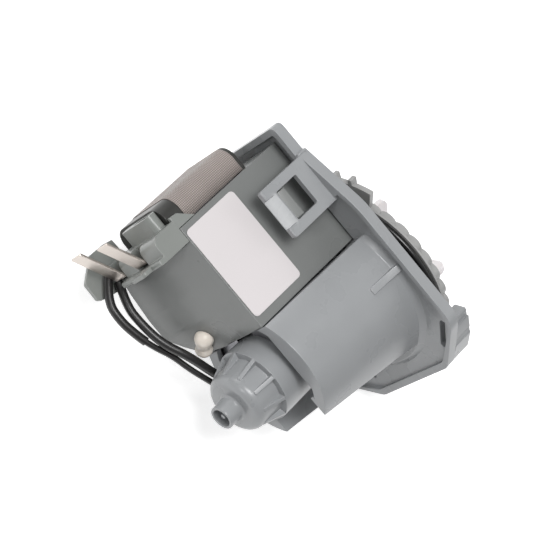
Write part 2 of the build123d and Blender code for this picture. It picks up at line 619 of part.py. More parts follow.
# Moulded block round the coils: four sections make its bulged back
back_sections = (
    (-BLOCK_Z, ((-51.2, 51), (-52.4, 43), (-53.4, 33.2), (-53.4, 25.7), (-49.9, 20.2), (-44.8, 13.6))),
    (-6.0, ((-50, 51), (-50.2, 44), (-50.3, 33), (-50.3, 25), (-48.6, 19.5), (-46, 13.6))),
    (8.0, ((-48.3, 51), (-48.5, 44), (-48.6, 33.1), (-48.6, 25.4), (-47.6, 19.8), (-46.3, 13.6))),
    (BLOCK_Z, ((-46, 51), (-46, 44), (-46, 33), (-46, 25.7), (-46, 20), (-46, 13.6))),
)
with BuildPart() as block_outside:
    for section_z, back in back_sections:
        with BuildSketch(Plane.XY.offset(section_z)):
            with BuildLine():
                Polyline((BLOCK_FRONT, BLOCK_BOTTOM), (BLOCK_FRONT, BLOCK_TOP), *back, close=True)
            make_face()
    loft(ruled=True)

with BuildPart() as stator_block:
    add(block_outside.part)

    # Lugs that the latch arms catch
    for side in (1, -1):
        with BuildSketch(Plane.XZ.offset(-WINDOW_Y[0] - 0.3)):
            with BuildLine():
                Polyline((WINDOW_X[0] + 0.3, side * BLOCK_Z), (WINDOW_X[0] + 0.3, side * (ARM_TOP - 0.9)),
                         (WINDOW_X[0] + 3.3, side * (ARM_TOP - 0.2)), (WINDOW_X[0] + 3.3, side * BLOCK_Z),
                         close=True)
            make_face()
        extrude(amount=-(WINDOW_Y[1] - WINDOW_Y[0] - 0.6))

    # Seat of the terminal carrier and the space of the coils, yoke and legs
    with BuildSketch(Plane.XY):
        with Locations((-50, 49.2)):
            Rectangle(8, 6)
    extrude(amount=BLOCK_Z + 1, both=True, mode=Mode.SUBTRACT)
    with BuildSketch(Plane.ZX.offset(BOBBIN_Y[0])):
        with Locations((0, leg_centre[0])):
            Rectangle(2 * coil_z[1] + 0.2, coil_x[1] - coil_x[0] + 0.2)
    extrude(amount=BLOCK_TOP - BOBBIN_Y[0], mode=Mode.SUBTRACT)
    with BuildSketch(Plane.ZX.offset(BLOCK_BOTTOM)):
        for side in (1, -1):
            with Locations((side * leg_centre[1], leg_centre[0])):
                Rectangle(leg_size[1] + 0.1, leg_size[0] + 0.1)
    extrude(amount=5, mode=Mode.SUBTRACT)
finish(stator_block, "stator_block")

# Insulating tape over the yoke
with BuildPart() as coil_tape:
    with BuildSketch(Plane.YZ.offset(TAPE_X[0])):
        with BuildLine():
            FilletPolyline((BLOCK_TOP + 0.2, TAPE_Z[0]), (TAPE_TOP, TAPE_Z[0]), (TAPE_TOP, TAPE_Z[1]),
                           (BLOCK_TOP + 0.2, TAPE_Z[1]), (BLOCK_TOP + 0.2, TAPE_Z[1] - TAPE_THICK),
                           (TAPE_TOP - TAPE_THICK, TAPE_Z[1] - TAPE_THICK),
                           (TAPE_TOP - TAPE_THICK, TAPE_Z[0] + TAPE_THICK),
                           (BLOCK_TOP + 0.2, TAPE_Z[0] + TAPE_THICK),
                           radius=[0, 5, 5, 0, 0, 4.5, 4.5, 0], close=True)
        make_face()
    extrude(amount=TAPE_X[1] - TAPE_X[0])
finish(coil_tape, "coil_tape")

# Thermal cut-out under the tape, beside the yoke
with BuildPart() as thermal_cutout:
    with BuildSketch(Plane.XY.offset(LEG_Z[1] + 0.1)):
        with Locations((-28, 53.9)):
            RectangleRounded(15, 5, 1)
    extrude(amount=2.2)
finish(thermal_cutout, "thermal_cutout")

# Blank label on the block
with BuildPart() as rating_label:
    with BuildSketch(Plane.XY.offset(BLOCK_Z)):
        with Locations(((LABEL_X[0] + LABEL_X[1]) / 2, (LABEL_Y[0] + LABEL_Y[1]) / 2)):
            RectangleRounded(LABEL_X[1] - LABEL_X[0], LABEL_Y[1] - LABEL_Y[0], 1.5)
    extrude(amount=LABEL_THICK)
finish(rating_label, "rating_label")

# Spade terminals: a foot in the carrier, a bend and a blade with a chamfered tip
spade_way = (-sin(radians(SPADE_TURN)), cos(radians(SPADE_TURN)))
with BuildPart() as spade_terminals:
    for centre_z, length in zip(SPADE_Z, SPADE_LENGTHS):
        tip = (SPADE_FOOT[0] + length * spade_way[0], SPADE_FOOT[1] + length * spade_way[1])
        with BuildSketch(Plane.XY.offset(centre_z)):
            with BuildLine():
                FilletPolyline((-47.5, SPADE_FOOT[1]), SPADE_FOOT, tip, radius=0.9)
                offset(amount=SPADE_THICK / 2, side=Side.BOTH)
            make_face()
        extrude(amount=SPADE_WIDTH / 2, both=True)
        with BuildSketch(Plane(origin=(*SPADE_FOOT, 0), x_dir=(0, 0, 1), z_dir=(spade_way[1], -spade_way[0], 0))):
            for side in (1, -1):
                corner = centre_z + side * SPADE_WIDTH / 2
                with BuildLine():
                    Polyline((corner, length - 2.6), (corner + side, length - 2.6), (corner + side, length + 1),
                             (corner - side * 1.6, length + 1), (corner - side * 1.6, length + 0.2),
                             (corner - side * 0.8, length - 1.0), close=True)
                make_face()
            with Locations((centre_z, length - 4.3)):
                Circle(0.8)
        extrude(amount=2, both=True, mode=Mode.SUBTRACT)
finish(spade_terminals, "spade_terminals")

# Terminal carrier: shelf with a short ledge, rounded post, slots for the blades and the far wall
with BuildPart() as terminal_carrier:
    with BuildSketch(Plane.XY.offset(CARRIER_Z[0])):
        with BuildLine():
            FilletPolyline((CARRIER_BACK, CARRIER_BOTTOM), (CARRIER_BACK, 54.1), (-56, 54.1), (-56, 48.3),
                           (LEDGE_END, 48.2), (LEDGE_END, 46.5), (-56.0, CARRIER_BOTTOM),
                           radius=[0, 0.5, 2.6, 0.3, 0.6, 0.6, 0], close=True)
        make_face()
    extrude(amount=CARRIER_Z[1] - CARRIER_Z[0])
    with BuildSketch(Plane.ZX.offset(46.7)):
        with Locations((8, (LEDGE_END + TONGUE_END) / 2)):
            RectangleRounded(8.4, LEDGE_END - TONGUE_END + 1.6, 1)
    extrude(amount=1.4)
    with BuildSketch(Plane.XY.offset(CARRIER_Z[0])):
        with Locations((-57.8, (46 + LEAD_NOTCH_Y) / 2)):
            Rectangle(7.2, LEAD_NOTCH_Y - 46)
    extrude(amount=LEAD_NOTCH_Z - CARRIER_Z[0], mode=Mode.SUBTRACT)
    with BuildSketch(Plane.XY.offset(CARRIER_Z[0] - CARRIER_WALL)):
        with BuildLine():
            FilletPolyline((CARRIER_BACK, CARRIER_BOTTOM), (CARRIER_BACK, 59.2), (-49.3, 59.9), (-55.4, 60.1),
                           (-62.9, 54.5), (-63.1, 48.6), (-61.6, 47.6), (-56, CARRIER_BOTTOM),
                           radius=[0, 0.4, 4, 1, 1, 0.8, 0.8, 4], close=True)
        make_face()
    extrude(amount=CARRIER_WALL)
    with BuildSketch(Plane.ZX.offset(53)):
        with Locations((5.7, -48.3)):
            RectangleRounded(17.5, 4.4, 2)
    extrude(amount=6.5)
    with BuildSketch(Plane.ZX.offset(59.5)):
        with Locations((8.4, -48.3)):
            RectangleRounded(9, 2.4, 1)
    extrude(amount=-4, mode=Mode.SUBTRACT)
    for centre_z in SPADE_Z:
        with BuildSketch(Plane.XY.offset(centre_z)):
            with Locations((-54.2, 51.7)):
                Rectangle(5, 7)
            with Locations((-49.3, SPADE_FOOT[1])):
                Rectangle(5, SPADE_THICK + 0.2)
        extrude(amount=SPADE_WIDTH / 2 + 0.1, both=True, mode=Mode.SUBTRACT)
finish(terminal_carrier, "terminal_carrier")

# Leads from the carrier down the back of the block to the opening beside the can.
# Each row of a route is one corner; the sleeve of the outer lead ends half way along a run.
outer_route = [(-55.7, 52.4, -14), (-61.9, 46.9, -14), (-62.9, 39.5, -14), (-61.6, 32.6, -14),
               (-60.0, 27.4, -14), (-57.0, 21.4, -14), (-55.4, 15.0, -14), (-53.0, 9.0, -14.2),
               (-48.2, -2.2, -15.4)]
inner_route = [(-54.2, 49.6, -14), (-58.15, 42.2, -13.6), (-58.75, 35.1, -12.9), (-58.3, 26.6, -11.7),
               (-54.8, 18.2, -10.2), (-50.2, 8.0, -13.0), (-46.0, 1.0, -14.8)]
OUTER_SLEEVE_RUN = 4


def corner_radii(route):
    """Radius of the tangent arc at each inner corner: 0.45 of the shorter run over tan of half the turn."""
    radii = []
    for before, corner, after in zip(route, route[1:], route[2:]):
        run_in = Vector(*corner) - Vector(*before)
        run_out = Vector(*after) - Vector(*corner)
        half_turn = radians(run_in.get_angle(run_out) / 2)
        radii.append(0.45 * min(run_in.length, run_out.length) / tan(half_turn))
    return radii


outer_radii = corner_radii(outer_route)
outer_path = FilletPolyline(*outer_route, radius=outer_radii)
sleeve_end = (Vector(*outer_route[OUTER_SLEEVE_RUN - 1]) + Vector(*outer_route[OUTER_SLEEVE_RUN])) / 2
sleeve_path = FilletPolyline(*outer_route[:OUTER_SLEEVE_RUN], sleeve_end,
                             radius=outer_radii[:OUTER_SLEEVE_RUN - 1])
with BuildPart() as lead_outer:
    for path, diameter in ((outer_path, WIRE_DIA), (sleeve_path, SLEEVE_DIA)):
        with BuildSketch(Plane(origin=path @ 0, z_dir=path % 0)):
            Circle(diameter / 2)
        sweep(path=path)
finish(lead_outer, "lead_outer")
print("lead_outer radii", [round(radius, 1) for radius in outer_radii], "length", round(outer_path.length, 1))

inner_radii = corner_radii(inner_route)
inner_path = FilletPolyline(*inner_route, radius=inner_radii)
with BuildPart() as lead_inner:
    with BuildSketch(Plane(origin=inner_path @ 0, z_dir=inner_path % 0)):
        Circle(SLEEVE_DIA / 2)
    sweep(path=inner_path)
finish(lead_inner, "lead_inner")
print("lead_inner radii", [round(radius, 1) for radius in inner_radii], "length", round(inner_path.length, 1))

# Dab of sealant on the lower back of the block: a round head, a waist and a wider foot
dab_plane = Plane(origin=(-49.4, 19.6, -6.2), x_dir=(0.1, -0.512, -0.853), z_dir=(-0.99, -0.14, 0.0))
with BuildPart() as sealant_dab:
    with BuildSketch(dab_plane):
        with BuildLine():
            ThreePointArc((-3.1, 0), (-2.2, 2.1), (0, 3.0))
            Polyline((0, 3.0), (1.8, 2.7), (3.6, 2.2), (5.4, 2.8))
            ThreePointArc((5.4, 2.8), (7.2, 2.0), (7.9, 0))
            Line((7.9, 0), (-3.1, 0))
        make_face()
    revolve(axis=Axis(dab_plane.origin, dab_plane.x_dir))
    add(block_outside.part, mode=Mode.SUBTRACT)
finish(sealant_dab, "sealant_dab")
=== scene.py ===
"""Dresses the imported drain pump: finishes, rounded edges, tape, leads, coils, sealant and studio."""
import json
import logging
from abc import ABC, abstractmethod
from dataclasses import dataclass
from math import cos, pi, radians, sin

import bmesh
import bpy
from mathutils import Matrix, Vector
from mathutils.bvhtree import BVHTree
from mathutils.geometry import area_tri, normal


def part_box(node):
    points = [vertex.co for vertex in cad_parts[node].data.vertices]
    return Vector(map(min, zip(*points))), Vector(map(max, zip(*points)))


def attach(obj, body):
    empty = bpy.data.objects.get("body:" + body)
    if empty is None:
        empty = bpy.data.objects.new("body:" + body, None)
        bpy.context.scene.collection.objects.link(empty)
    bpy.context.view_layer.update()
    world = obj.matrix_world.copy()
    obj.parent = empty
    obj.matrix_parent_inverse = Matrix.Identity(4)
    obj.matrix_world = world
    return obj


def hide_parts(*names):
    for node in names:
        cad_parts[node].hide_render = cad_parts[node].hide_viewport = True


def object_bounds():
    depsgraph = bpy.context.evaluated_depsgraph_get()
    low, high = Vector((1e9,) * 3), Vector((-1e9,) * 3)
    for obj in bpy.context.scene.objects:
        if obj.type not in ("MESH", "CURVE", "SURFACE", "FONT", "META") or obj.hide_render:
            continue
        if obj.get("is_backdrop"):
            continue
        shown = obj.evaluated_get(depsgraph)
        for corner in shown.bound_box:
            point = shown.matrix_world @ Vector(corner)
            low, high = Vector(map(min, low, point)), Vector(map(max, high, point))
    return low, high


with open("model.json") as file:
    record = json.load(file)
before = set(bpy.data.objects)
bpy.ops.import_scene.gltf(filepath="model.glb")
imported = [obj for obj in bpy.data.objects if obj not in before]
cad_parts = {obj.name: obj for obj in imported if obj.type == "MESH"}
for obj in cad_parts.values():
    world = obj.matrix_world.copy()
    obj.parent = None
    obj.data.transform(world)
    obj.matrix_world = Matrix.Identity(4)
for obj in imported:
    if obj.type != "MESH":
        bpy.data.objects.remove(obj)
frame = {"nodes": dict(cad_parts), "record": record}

log = logging.getLogger("drain_pump")

MM = 0.001

Colour = tuple[float, float, float, float]
Point = tuple[float, float, float]
Pair = tuple[float, float]
Socket = bpy.types.NodeSocket


def linear(red: int, green: int, blue: int) -> Colour:
    """Turn an 8-bit display colour into the linear colour that a shader takes.

    Args:
        red: Red from 0 to 255.
        green: Green from 0 to 255.
        blue: Blue from 0 to 255.

    Returns:
        Linear red, green, blue and an alpha of one.
    """
    parts = []
    for value in (red, green, blue):
        share = value / 255
        parts.append(share / 12.92 if share <= 0.04045 else ((share + 0.055) / 1.055) ** 2.4)
    return (*parts, 1.0)


class Tree:
    """Short way to add and join the nodes of one material."""

    def __init__(self, name: str) -> None:
        """Start a material with a principled shader.

        Args:
            name: Name of the material.
        """
        self.material = bpy.data.materials.new(name)
        self.material.use_nodes = True
        self.nodes = self.material.node_tree.nodes
        self.links = self.material.node_tree.links
        self.shader = self.nodes["Principled BSDF"]
        self.place = self.nodes.new("ShaderNodeTexCoord")

    def add(self, kind: str, **values: float | Point | Colour) -> bpy.types.Node:
        """Add a shader node and set its inputs.

        Args:
            kind: Type of the node without its prefix.
            **values: Values of inputs, with underscores for the spaces of their names.

        Returns:
            The node.
        """
        node = self.nodes.new("ShaderNode" + kind)
        for name, value in values.items():
            node.inputs[name.replace("_", " ")].default_value = value
        return node

    def join(self, source: Socket, target: Socket) -> None:
        """Link one socket to another."""
        self.links.new(source, target)

    def noise(self, scale: float, detail: float = 3.0, stretch: Point = (1, 1, 1)) -> Socket:
        """Add noise that reads Object coordinates.

        Args:
            scale: Scale of the noise, per metre.
            detail: Octaves of the noise.
            stretch: Scale of the coordinates along each axis.

        Returns:
            The noise's factor, about 0.3 to 0.7.
        """
        texture = self.add("TexNoise", Scale=scale, Detail=detail)
        spread = self.add("Mapping", Scale=stretch)
        self.join(self.place.outputs["Object"], spread.inputs["Vector"])
        self.join(spread.outputs["Vector"], texture.inputs["Vector"])
        return texture.outputs["Fac"]

    def between(self, factor: Socket, low: float, high: float, source: Pair = (0.3, 0.7)) -> Socket:
        """Spread a factor between two values.

        Args:
            factor: Factor that goes in.
            low: What the lower end of the source becomes.
            high: What the upper end of the source becomes.
            source: Range of the factor that is spread.

        Returns:
            The spread factor.
        """
        spread = self.add("MapRange", From_Min=source[0], From_Max=source[1], To_Min=low, To_Max=high)
        self.join(factor, spread.inputs["Value"])
        return spread.outputs["Result"]

    def math(self, operation: str, first: Socket | float, second: Socket | float | None = None) -> Socket:
        """Work out one step of arithmetic.

        Args:
            operation: Name of the operation.
            first: First socket or number.
            second: Second socket or number, where the operation takes two.

        Returns:
            The result.
        """
        node = self.nodes.new("ShaderNodeMath")
        node.operation = operation
        for socket, value in zip(node.inputs, (first, second)):
            if isinstance(value, Socket):
                self.join(value, socket)
            elif value is not None:
                socket.default_value = value
        return node.outputs[0]

    def tint(self, colour: Colour, factor: Socket) -> Socket:
        """Multiply a colour by a factor near one.

        Args:
            colour: Linear colour.
            factor: Factor for all of its parts.

        Returns:
            The tinted colour.
        """
        mix = self.nodes.new("ShaderNodeMix")
        mix.data_type = "RGBA"
        mix.blend_type = "MULTIPLY"
        mix.inputs["Factor"].default_value = 1.0
        mix.inputs["A"].default_value = colour
        self.join(factor, mix.inputs["B"])
        return mix.outputs["Result"]

    def bump(self, height: Socket, strength: float, distance: float) -> None:
        """Raise the shader's surface by a height.

        Args:
            height: Height from zero to one.
            strength: Strength of the bump.
            distance: What a height of one stands for, in millimetres.
        """
        node = self.add("Bump", Strength=strength, Distance=distance * MM)
        self.join(height, node.inputs["Height"])
        self.join(node.outputs["Normal"], self.shader.inputs["Normal"])

    def finish(self, colour: Socket | Colour, roughness: Socket | float) -> bpy.types.Material:
        """Set the shader's colour and roughness.

        Args:
            colour: Base colour.
            roughness: Roughness.

        Returns:
            The finished material.
        """
        for name, value in (("Base Color", colour), ("Roughness", roughness)):
            if isinstance(value, Socket):
                self.join(value, self.shader.inputs[name])
            else:
                self.shader.inputs[name].default_value = value
        return self.material


@dataclass(frozen=True)
class Finish(ABC):
    """Look of one material slot."""

    name: str
    colour: Colour
    roughness: float = 0.42

    @abstractmethod
    def material(self) -> bpy.types.Material:
        """Build the node tree of this finish."""


@dataclass(frozen=True)
class Moulded(Finish):
    """Moulded plastic or rubber: fine spark grain and a slow change of shade."""

    grain: float = 0.16
    shade: float = 0.035
    glow: float = 0.0
    glow_reach: Point = (1.0, 0.95, 0.9)
    glow_depth: float = 1.5
    grain_scale: float = 4200.0
    grain_depth: float = 0.03
    patch_scale: float = 55.0
    gloss_swing: float = 0.05

    def material(self) -> bpy.types.Material:
        """Build the node tree of this plastic.

        Returns:
            The material.
        """
        tree = Tree(self.name)
        slow = tree.noise(self.patch_scale, detail=4.0)
        tree.bump(tree.noise(self.grain_scale, detail=2.0), self.grain, self.grain_depth)
        tree.shader.inputs["Subsurface Weight"].default_value = self.glow
        tree.shader.inputs["Subsurface Radius"].default_value = self.glow_reach
        tree.shader.inputs["Subsurface Scale"].default_value = self.glow_depth * MM
        colour = tree.tint(self.colour, tree.between(slow, 1 - self.shade, 1 + self.shade))
        gloss = tree.between(slow, self.roughness - self.gloss_swing, self.roughness + self.gloss_swing)
        return tree.finish(colour, gloss)


@dataclass(frozen=True)
class Metal(Finish):
    """Rolled or ground metal with fine marks along one axis."""

    stretch: Point = (300.0, 300.0, 4000.0)
    marks: float = 0.12
    metallic: float = 1.0
    mark_depth: float = 0.02
    mark_shade: Pair = (0.93, 1.05)
    gloss_swing: Pair = (-0.06, 0.08)

    def material(self) -> bpy.types.Material:
        """Build the node tree of this metal.

        Returns:
            The material.
        """
        tree = Tree(self.name)
        fine = tree.noise(1.0, stretch=self.stretch)
        tree.bump(fine, self.marks, self.mark_depth)
        tree.shader.inputs["Metallic"].default_value = self.metallic
        colour = tree.tint(self.colour, tree.between(fine, *self.mark_shade))
        low, high = self.gloss_swing
        return tree.finish(colour, tree.between(fine, self.roughness + low, self.roughness + high))


@dataclass(frozen=True)
class Cloth(Finish):
    """Plain weave that follows the tape's own UV map, in threads per unit, with painted shade in the thread
    gaps and a painted highlight on the thread crowns.
    """

    threads: float = 1.0
    weave: float = 0.7
    weave_depth: float = 0.1
    # These two ranges paint light into the weave: painted shade in the gaps between threads, and a painted
    # highlight of up to 1.3 times the colour on the thread crowns.
    gap_source: Pair = (0.0, 0.9)
    painted_weave_shading: Pair = (0.45, 1.3)
    patch_scale: float = 90.0
    patch_shade: Pair = (0.93, 1.05)
    sheen: float = 0.15

    def material(self) -> bpy.types.Material:
        """Build the node tree of this cloth.

        Returns:
            The material.
        """
        tree = Tree(self.name)
        uv = tree.nodes.new("ShaderNodeSeparateXYZ")
        tree.join(tree.place.outputs["UV"], uv.inputs[0])
        across = tree.math("MULTIPLY", uv.outputs["X"], self.threads)
        along = tree.math("MULTIPLY", uv.outputs["Y"], self.threads)
        turns = [tree.math("MULTIPLY", way, pi) for way in (across, along)]
        ridges = [tree.math("ABSOLUTE", tree.math("SINE", turn)) for turn in turns]
        cells = tree.math("ADD", tree.math("FLOOR", across), tree.math("FLOOR", along))
        over = tree.math("PINGPONG", cells, 1.0)
        under = tree.math("SUBTRACT", 1.0, over)
        threads = [tree.math("MULTIPLY", ridge, share) for ridge, share in zip(ridges, (over, under))]
        tree.bump(tree.math("ADD", *threads), self.weave, self.weave_depth)
        # Painted shade in the gaps between threads and a painted highlight on the thread crowns, multiplied
        # into the cloth's colour.
        weave_shading = tree.between(tree.math("MULTIPLY", *ridges), *self.painted_weave_shading, self.gap_source)
        slow = tree.between(tree.noise(self.patch_scale), *self.patch_shade)
        tree.shader.inputs["Sheen Weight"].default_value = self.sheen
        return tree.finish(tree.tint(self.colour, tree.math("MULTIPLY", weave_shading, slow)), self.roughness)


@dataclass(frozen=True)
class Film(Finish):
    """Smooth label film without print, with a faint change of shade."""

    grain: float = 0.05
    grain_scale: float = 900.0
    grain_depth: float = 0.02
    patch_scale: float = 40.0
    patch_shade: Pair = (0.985, 1.01)

    def material(self) -> bpy.types.Material:
        """Build the node tree of this film.

        Returns:
            The material.
        """
        tree = Tree(self.name)
        tree.bump(tree.noise(self.grain_scale, detail=2.0), self.grain, self.grain_depth)
        slow = tree.between(tree.noise(self.patch_scale), *self.patch_shade)
        return tree.finish(tree.tint(self.colour, slow), self.roughness)


FINISHES = {
    "body_grey": Moulded("body_plastic", linear(150, 152, 154), 0.29),
    "block_grey": Moulded("block_plastic", linear(120, 122, 121), 0.3),
    "chamber_grey": Moulded("chamber_plastic", linear(160, 160, 159), 0.34),
    "carrier_grey": Moulded("carrier_plastic", linear(132, 135, 132), 0.32),
    "bobbin_dark": Moulded("bobbin_plastic", linear(52, 52, 50), 0.4),
    "gasket_rubber": Moulded("gasket_rubber", linear(26, 26, 26), 0.3),
    "seal_rubber": Moulded("seal_rubber", linear(38, 38, 38), 0.5),
    "sleeve_black": Moulded("sleeve_rubber", linear(36, 35, 35), 0.36),
    "sealant_white": Moulded("sealant", linear(226, 218, 208), 0.38, grain=0.05, glow=0.3),
    "impeller_white": Moulded("impeller_plastic", linear(228, 224, 225), 0.34, glow=0.5),
    "dog_plastic": Moulded("dog_plastic", linear(215, 213, 205), 0.4, glow=0.2),
    "bush_carbon": Moulded("bush_carbon", linear(60, 60, 62), 0.3),
    "shaft_steel": Metal("shaft_metal", linear(205, 205, 205), 0.2, (4000.0, 300.0, 300.0)),
    "magnet_ferrite": Moulded("magnet_ferrite", linear(60, 58, 58), 0.45),
    "core_steel": Metal("core_metal", linear(150, 150, 154), 0.42, (2500.0, 300.0, 300.0)),
    "copper_wire": Metal("copper_enamel", linear(186, 96, 52), 0.25, (600.0, 600.0, 600.0), 0.05, 0.8),
    "terminal_metal": Metal("terminal_tin", linear(192, 184, 177), 0.34, (250.0, 250.0, 3500.0)),
    "tape_cloth": Cloth("tape_cloth", linear(158, 148, 143), 0.62, threads=1 / 0.6),
    "label_film": Film("label_film", linear(214, 209, 210), 0.38),
    "cutout_case": Moulded("cutout_case", linear(58, 58, 58), 0.35),
}


def linked(name: str, data: bpy.types.ID) -> bpy.types.Object:
    """Put data into the scene as an object.

    Args:
        name: Name of the object.
        data: Its mesh, curve, lamp or camera.

    Returns:
        The linked object.
    """
    piece = bpy.data.objects.new(name, data)
    bpy.context.scene.collection.objects.link(piece)
    return piece


def as_mesh(made: bmesh.types.BMesh, name: str) -> bpy.types.Mesh:
    """Turn an edited mesh into a plain one, and free it.

    Args:
        made: Edited mesh.
        name: Name of the plain mesh.

    Returns:
        The plain mesh.
    """
    mesh = bpy.data.meshes.new(name)
    made.to_mesh(mesh)
    made.free()
    return mesh


class Workshop:
    """Keeps the materials and puts each finished piece into the frame."""

    def __init__(self) -> None:
        """Build all materials and read which body and slot each node has."""
        record = frame["record"]
        self.materials = {slot: finish.material() for slot, finish in FINISHES.items()}
        self.slots = {row["node"]: row["material_slot"] for row in record["subparts"]}
        self.bodies = {node: body for body, nodes in record["behaviour"]["bodies"].items() for node in nodes}

    def dress(self) -> None:
        """Give every carried-over node the finish of its slot."""
        for name, node in frame["nodes"].items():
            node.data.materials.clear()
            node.data.materials.append(self.materials[self.slots[name]])

    def place(self, mesh: bpy.types.Mesh, name: str, nodes: tuple[str, ...]) -> bpy.types.Object:
        """Link a mesh as a piece that stands for some nodes.

        Args:
            mesh: Mesh in the row frame.
            name: Name of the piece.
            nodes: Nodes that it stands for; the first gives its slot and body.

        Returns:
            The piece.
        """
        piece = linked(name, mesh)
        self.adopt(piece, nodes)
        log.info("%s: %d faces for %s", name, len(mesh.polygons), ", ".join(nodes))
        return piece

    def add(self, mesh: bpy.types.Mesh, name: str, like: str) -> bpy.types.Object:
        """Link a mesh as a further piece with the finish and the body of a node.

        Args:
            mesh: Mesh in the row frame.
            name: Name of the piece.
            like: Node whose finish and body it takes.

        Returns:
            The piece.
        """
        piece = linked(name, mesh)
        self.finish(piece, like)
        log.info("%s: %d faces beside %s", name, len(mesh.polygons), like)
        return piece

    def finish(self, piece: bpy.types.Object, node: str) -> None:
        """Give a linked piece the finish, slot and body of a node.

        Args:
            piece: The linked piece.
            node: Node that it is like.
        """
        slot = self.slots[node]
        piece.data.materials.clear()
        piece.data.materials.append(self.materials[slot])
        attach(piece, self.bodies[node])

    def adopt(self, piece: bpy.types.Object, nodes: tuple[str, ...]) -> None:
        """Let a linked piece stand for some nodes, with the finish of the first."""
        self.finish(piece, nodes[0])
        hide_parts(*nodes)


def evaluated(piece: bpy.types.Object, name: str) -> bpy.types.Mesh:
    """Take the mesh of an object after its modifiers, and drop the object.

    Args:
        piece: Linked object with modifiers.
        name: Name of the new mesh.

    Returns:
        The plain mesh.
    """
    graph = bpy.context.evaluated_depsgraph_get()
    shaped = piece.evaluated_get(graph)
    mesh = bpy.data.meshes.new_from_object(shaped, preserve_all_data_layers=True, depsgraph=graph)
    mesh.name = name
    bpy.data.objects.remove(piece)
    return mesh


def stays_convex(edge: bmesh.types.BMEdge, slack: float = 1e-12) -> bool:
    """Tell whether the two faces on an edge make one face without an inward corner.

    Args:
        edge: Edge between two faces in one plane.
        slack: Inward turn in square metres that still counts as straight.

    Returns:
        True where they meet along this edge only and both joined corners turn outwards.
    """
    first, second = edge.link_faces
    if len(set(first.verts) & set(second.verts)) != 2:
        return False
    for corner in edge.verts:
        ways = {}
        for face in (first, second):
            loop = next(loop for loop in face.loops if loop.vert == corner)
            if loop.edge == edge:
                ways["in"] = corner.co - loop.link_loop_prev.vert.co
            else:
                ways["out"] = loop.link_loop_next.vert.co - corner.co
        if ways["in"].cross(ways["out"]).dot(first.normal) < -slack:
            return False
    return True


def merged_copy(node: str, flat: float = 0.05, near: float = 2e-6) -> bmesh.types.BMesh:
    """Copy a node's triangles, join their corners and drop lines across its flat faces.

    The faces stay convex, so that rounding the edges round a hole leaves the hole open.

    Args:
        node: Name of the CAD node.
        flat: Angle in degrees under which two faces count as one.
        near: Distance in metres under which two corners count as one.

    Returns:
        The joined mesh.
    """
    made = bmesh.new()
    made.from_mesh(frame["nodes"][node].data)
    bmesh.ops.remove_doubles(made, verts=made.verts, dist=near)
    inner = [edge for edge in made.edges if edge.calc_face_angle(pi) < radians(flat)]
    for edge in sorted(inner, key=lambda edge: -edge.calc_length()):
        if edge.is_valid and len(edge.link_faces) == 2 and stays_convex(edge):
            bmesh.utils.face_join(edge.link_faces, True)
    return made


def unfold(made: bmesh.types.BMesh, flat: float = 2.0, rounds: int = 12, gain: float = 1e-5) -> None:
    """Turn the edge between two flat triangles wherever that takes away an overlap.

    Args:
        made: Mesh of triangles.
        flat: Angle in degrees under which two triangles lie in one plane.
        rounds: Most passes over the mesh.
        gain: Least share of the pair's area that a turn must save.
    """
    level = cos(radians(flat))
    for _ in range(rounds):
        turned = 0
        for edge in list(made.edges):
            if not edge.is_valid or len(edge.link_faces) != 2:
                continue
            first, second = edge.link_faces
            if abs(first.normal.dot(second.normal)) < level:
                continue
            tips = [next(vert for vert in face.verts if vert not in edge.verts) for face in (first, second)]
            if tips[0] == tips[1] or made.edges.get(tips):
                continue
            after = sum(area_tri(tips[0].co, tips[1].co, vert.co) for vert in edge.verts)
            if after < (first.calc_area() + second.calc_area()) * (1 - gain):
                other = bmesh.utils.edge_rotate(edge, True)
                if other:
                    turned += 1
                    for face in other.link_faces:
                        face.normal_update()
        if not turned:
            break


def faces_back(corners: list[Vector], skin: BVHTree, near: float = 2e-5, against: float = -0.5) -> bool:
    """Tell whether a triangle lies on a surface but faces against it.

    Args:
        corners: Its three corners.
        skin: The surface.
        near: Distance in metres under which it lies on the surface.
        against: Cosine between the two normals under which it faces against the surface.

    Returns:
        True for a triangle that is folded over.
    """
    _, facing, _, distance = skin.find_nearest(sum(corners, Vector()) / 3)
    return distance < near and normal(*corners).dot(facing) < against


def saving(drop: bmesh.types.BMVert, keep: bmesh.types.BMVert, skin: BVHTree, turn: float = 25.0) -> int:
    """Count the folds that go when one corner is merged into its neighbour.

    Args:
        drop: Corner that goes.
        keep: Neighbour that it goes to.
        skin: Surface that the faces should follow.
        turn: Most that a sound face may turn, in degrees.

    Returns:
        Folds before less folds after, or zero where the merge would open or bend the surface.
    """
    rings = [{edge.other_vert(vert) for edge in vert.link_edges} for vert in (drop, keep)]
    if len(rings[0] & rings[1]) != 2:
        return 0
    saved = 0
    for face in drop.link_faces:
        before = [vert.co for vert in face.verts]
        was = faces_back(before, skin)
        saved += was
        if keep in face.verts:
            continue
        after = [keep.co if vert == drop else vert.co for vert in face.verts]
        saved -= faces_back(after, skin)
        if not was and normal(*after).dot(normal(*before)) < cos(radians(turn)):
            return 0
    return saved


def clear_folds(made: bmesh.types.BMesh, skin: BVHTree, rounds: int = 6) -> None:
    """Merge corners of folded triangles into a neighbour wherever that leaves fewer folds.

    Args:
        made: Closed mesh of triangles.
        skin: Surface that they should follow.
        rounds: Most passes over the mesh.
    """
    for _ in range(rounds):
        folds = [face for face in made.faces if faces_back([vert.co for vert in face.verts], skin)]
        merged = 0
        for face in folds:
            if not face.is_valid:
                continue
            pairs = [pair for edge in face.edges for pair in (tuple(edge.verts), tuple(edge.verts)[::-1])]
            drop, keep = max(pairs, key=lambda pair: saving(*pair, skin))
            if saving(drop, keep, skin) > 0:
                bmesh.ops.weld_verts(made, targetmap={drop: keep})
                merged += 1
        if not merged:
            break


